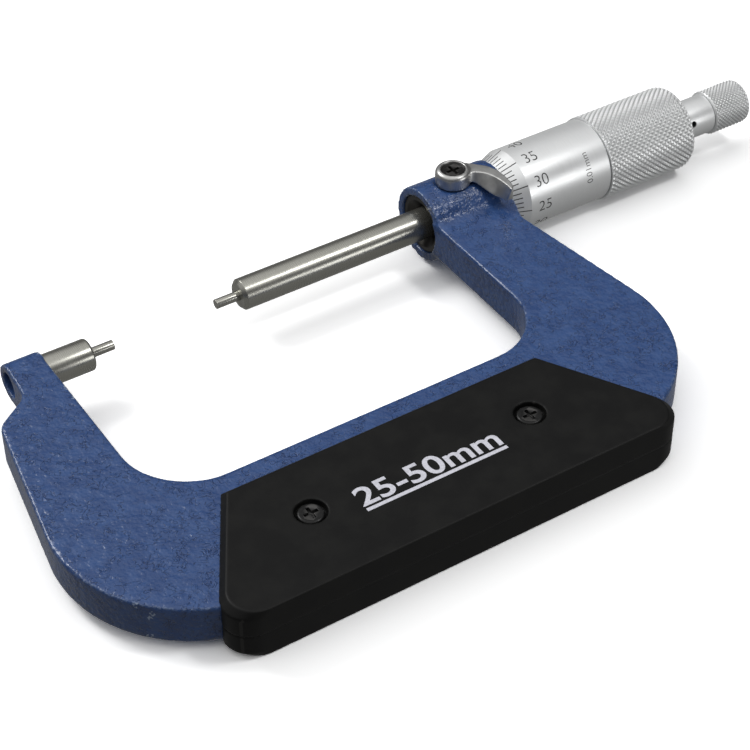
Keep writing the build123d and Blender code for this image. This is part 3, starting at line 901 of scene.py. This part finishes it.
def make_ratchet_barrel(chrome):
    """Plain barrel behind the thimble, with its two spanner holes."""
    low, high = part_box("ratchet_housing")
    profile = with_rounds([
        (low.x, SEAT_R, 0),
        (low.x, high.z, 0.15 * MM),
        (high.x, high.z, 0.2 * MM),
        (high.x, RATCHET_BORE_R, 0.1 * MM),
        (STUB_END, RATCHET_BORE_R, 0),
        (STUB_END, STUB_R, 0),
        (SEAT_END, STUB_R, 0),
        (SEAT_END, SEAT_R, 0),
    ], closed=True)
    mesh = drilled(lathe(profile, 128, closed=True), spanner_drill(SPANNER_X, high.z))
    add_piece("ratchet_barrel", mesh, chrome, "thimble_body", ["ratchet_housing"])


def make_ratchet_cap(chrome):
    """Knurled knob with a rounded rear rim and a recess for its screw."""
    low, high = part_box("ratchet_knob")
    cap_r = high.z
    stem_r, hole_r, head_r = 3.35 * MM, 1.05 * MM, 2.1 * MM
    recess = 1.4 * MM
    profile = with_rounds([
        (low.x, hole_r, 0),
        (low.x, stem_r, 0.1 * MM),
        (CAP_START, stem_r, 0),
        (CAP_START, cap_r - 0.25 * MM, 0.1 * MM),
        (CAP_START + 0.25 * MM, cap_r, 0),
        (high.x, cap_r, 0.9 * MM),
        (high.x, head_r + 0.3 * MM, 0.1 * MM),
        (high.x - 0.3 * MM, head_r, 0.05 * MM),
        (high.x - recess, head_r, 0),
        (high.x - recess, hole_r, 0),
    ], closed=True, steps=6)
    profile = resampled(profile, CAP_START, high.x, CAP_LEAD / KNURL_STEPS)
    mesh = knurled_lathe(profile, CAP_AROUND, CAP_LEAD, CAP_DEPTH, CAP_START + 0.1 * MM,
                         high.x - 0.2 * MM, fade=0.3 * MM)
    add_piece("ratchet_cap", mesh, chrome, "ratchet_body", ["ratchet_knob"], sharp_deg=40)


def spanner_drill(x, radius):
    """Two short plugs that drill the spanner holes on opposite sides of the ratchet barrel."""
    reach = 1.5 * MM
    plugs = []
    for turn in SPANNER_TURNS:
        out = Vector((0, -math.cos(turn), math.sin(turn)))
        plug = lathe([(-reach, 0), (-reach, SPANNER_R), (reach, SPANNER_R), (reach, 0)], 32)
        lean = Vector((1, 0, 0)).rotation_difference(out).to_matrix().to_4x4()
        plug.transform(Matrix.Translation(Vector((x, 0, 0)) + out * radius) @ lean)
        plugs.append(plug)
    return joined(plugs)


# ------------------------------------------------------------------ clamp lever

LEVER_ARM = [
    # far top x, y, near top x, y, near foot x, y, top z, foot z; the outer wall drops straight from far top
    (79.6, 3.1, 79.4, -2.7, 79.5, -3.0, 10.45, 8.4),
    (81.6, 1.3, 80.6, -2.5, 80.5, -3.1, 10.40, 8.4),
    (83.4, -0.4, 82.0, -2.9, 81.5, -3.6, 10.30, 8.1),
    (84.9, -1.9, 83.4, -4.1, 82.2, -4.9, 10.25, 7.5),
    (86.0, -4.0, 84.4, -6.0, 82.8, -6.5, 10.15, 7.0),
    (86.4, -6.4, 84.9, -8.0, 83.4, -7.9, 10.0, 6.7),
    (86.4, -8.6, 85.1, -9.6, 84.1, -9.0, 9.8, 6.5),
    (86.2, -10.2, 85.2, -11.0, 84.6, -10.2, 9.6, 6.4),
]
LEVER_STEPS = 5


def lever_sections():
    """Arm sections with smooth in-between ones, by Catmull-Rom interpolation of the table."""
    rows = np.array(LEVER_ARM)
    padded = np.vstack([2 * rows[0] - rows[1], rows, 2 * rows[-1] - rows[-2]])
    smooth = []
    for i in range(1, len(padded) - 2):
        a, b, c, d = padded[i - 1:i + 3]
        for t in np.arange(LEVER_STEPS) / LEVER_STEPS:
            smooth.append(b + (c - a) * t / 2 + (2 * a - 5 * b + 4 * c - d) * t ** 2 / 2
                          + (3 * b - a - 3 * c + d) * t ** 3 / 2)
    return smooth + [rows[-1]]


def lever_arm_mesh():
    """Curved fin lofted through sections: a narrow top, an upright outer wall and a sloping inner one."""
    verts = []
    for far_x, far_y, near_x, near_y, foot_x, foot_y, top, foot in lever_sections():
        section = [(far_x, far_y, top), (near_x, near_y, top), (foot_x, foot_y, foot), (far_x, far_y, foot)]
        verts += [Vector(point) * MM for point in section]
    last = len(verts) - 4
    faces = [(0, 1, 2, 3), (last + 3, last + 2, last + 1, last)]
    for a in range(0, last, 4):
        faces += [(a + k, a + 4 + k, a + 4 + (k + 1) % 4, a + (k + 1) % 4) for k in range(4)]
    return mesh_from(verts, faces)


def make_lever(chrome):
    """Ring-headed lever, fused from a turned ring and a lofted arm and smoothed like a small casting."""
    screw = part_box("lock_screw")
    centre = ((screw[0].x + screw[1].x) / 2, 0)
    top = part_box("lock_lever")[1].z
    ring_low, ring_r, bore_r, sink_r = 7.6 * MM, 3.65 * MM, 1.75 * MM, 2.55 * MM
    ring = lathe(with_rounds([
        (ring_low, bore_r, 0),
        (ring_low, ring_r, 0.3 * MM),
        (top, ring_r, 1.0 * MM),
        (top, sink_r, 0.12 * MM),
        (top - 0.42 * MM, sink_r, 0),
        (top - 1.7 * MM, bore_r, 0),
    ], closed=True), 96, closed=True, axis_x=False, centre=centre)
    hole = lathe([(ring_low - 1 * MM, 0), (ring_low - 1 * MM, sink_r + 0.2 * MM),
                  (top + 1 * MM, sink_r + 0.2 * MM), (top + 1 * MM, 0)], 96, axis_x=False, centre=centre)
    arm = drilled(lever_arm_mesh(), hole)
    mesh = voxel_fused(joined([ring, arm]), LEVER_VOXEL, 12)
    add_piece("clamp_lever", mesh, chrome, "lever_body", ["lock_lever"], sharp_deg=180)


def finish_plain_node(node, name, material, body):
    """A CAD node's own shape with its edges rounded."""
    add_piece(name, softened(node), material, body, [node])


# ------------------------------------------------------------------ build

def main():
    place_camera()
    light_scene()
    make_floor(floor_paper())

    blue = hammertone()
    plastic = black_moulding()
    steel = turned_metal("ground_steel", (0.42, 0.415, 0.375), 0.27, 0.11 * MM, 0.0015 * MM, 0.93, 0.85)
    chrome = turned_metal("satin_chrome", (0.88, 0.89, 0.89), 0.38, 0.16 * MM, 0.003 * MM, 0.96, 0.5,
                          chrome_cuts())
    dark = turned_metal("dark_steel", (0.060, 0.058, 0.054), 0.35, 0.14 * MM, 0.004 * MM, 0.8)
    spring = turned_metal("spring_steel", (0.36, 0.36, 0.35), 0.3, 0.2 * MM, 0.003 * MM, 0.9)
    screw = blacked_steel()
    lever = lever_metal()
    black_ink = ink("graduation_ink", (0.012, 0.012, 0.012), 0.5)
    white_ink = ink("marking_white", (0.68, 0.68, 0.75), 0.5)

    make_frame_casting(blue)
    make_covers(plastic, white_ink)
    make_anvil(steel)
    make_pin("anvil_pin", "frame_body", +1, steel)
    make_pin("spindle_pin", "feed", -1, steel)
    make_spindle(steel)
    make_thimble(chrome)
    make_thimble_graduations(black_ink)
    make_guide_sleeve(dark)
    make_scale_sleeve(chrome, black_ink)
    make_ratchet_barrel(chrome)
    make_ratchet_cap(chrome)
    make_lever(lever)
    for side in ("top", "bottom"):
        finish_plain_node(f"cover_screws_{side}", f"cross_screws_{side}", screw, "frame_body")
    finish_plain_node("lock_screw", "clamp_screw", screw, "lever_body")
    finish_plain_node("ratchet_screw", "slotted_screw", dark, "thimble_body")

    kept = {
        "adjusting_nut": steel, "lock_shoe": brass(), "lock_washer": dark,
        "ratchet_spring": spring, "ratchet_wheel": steel, "lock_stud": dark,
    }
    for node, material in kept.items():
        mesh = nodes[node].data
        mesh.materials.clear()
        mesh.materials.append(material)


main()
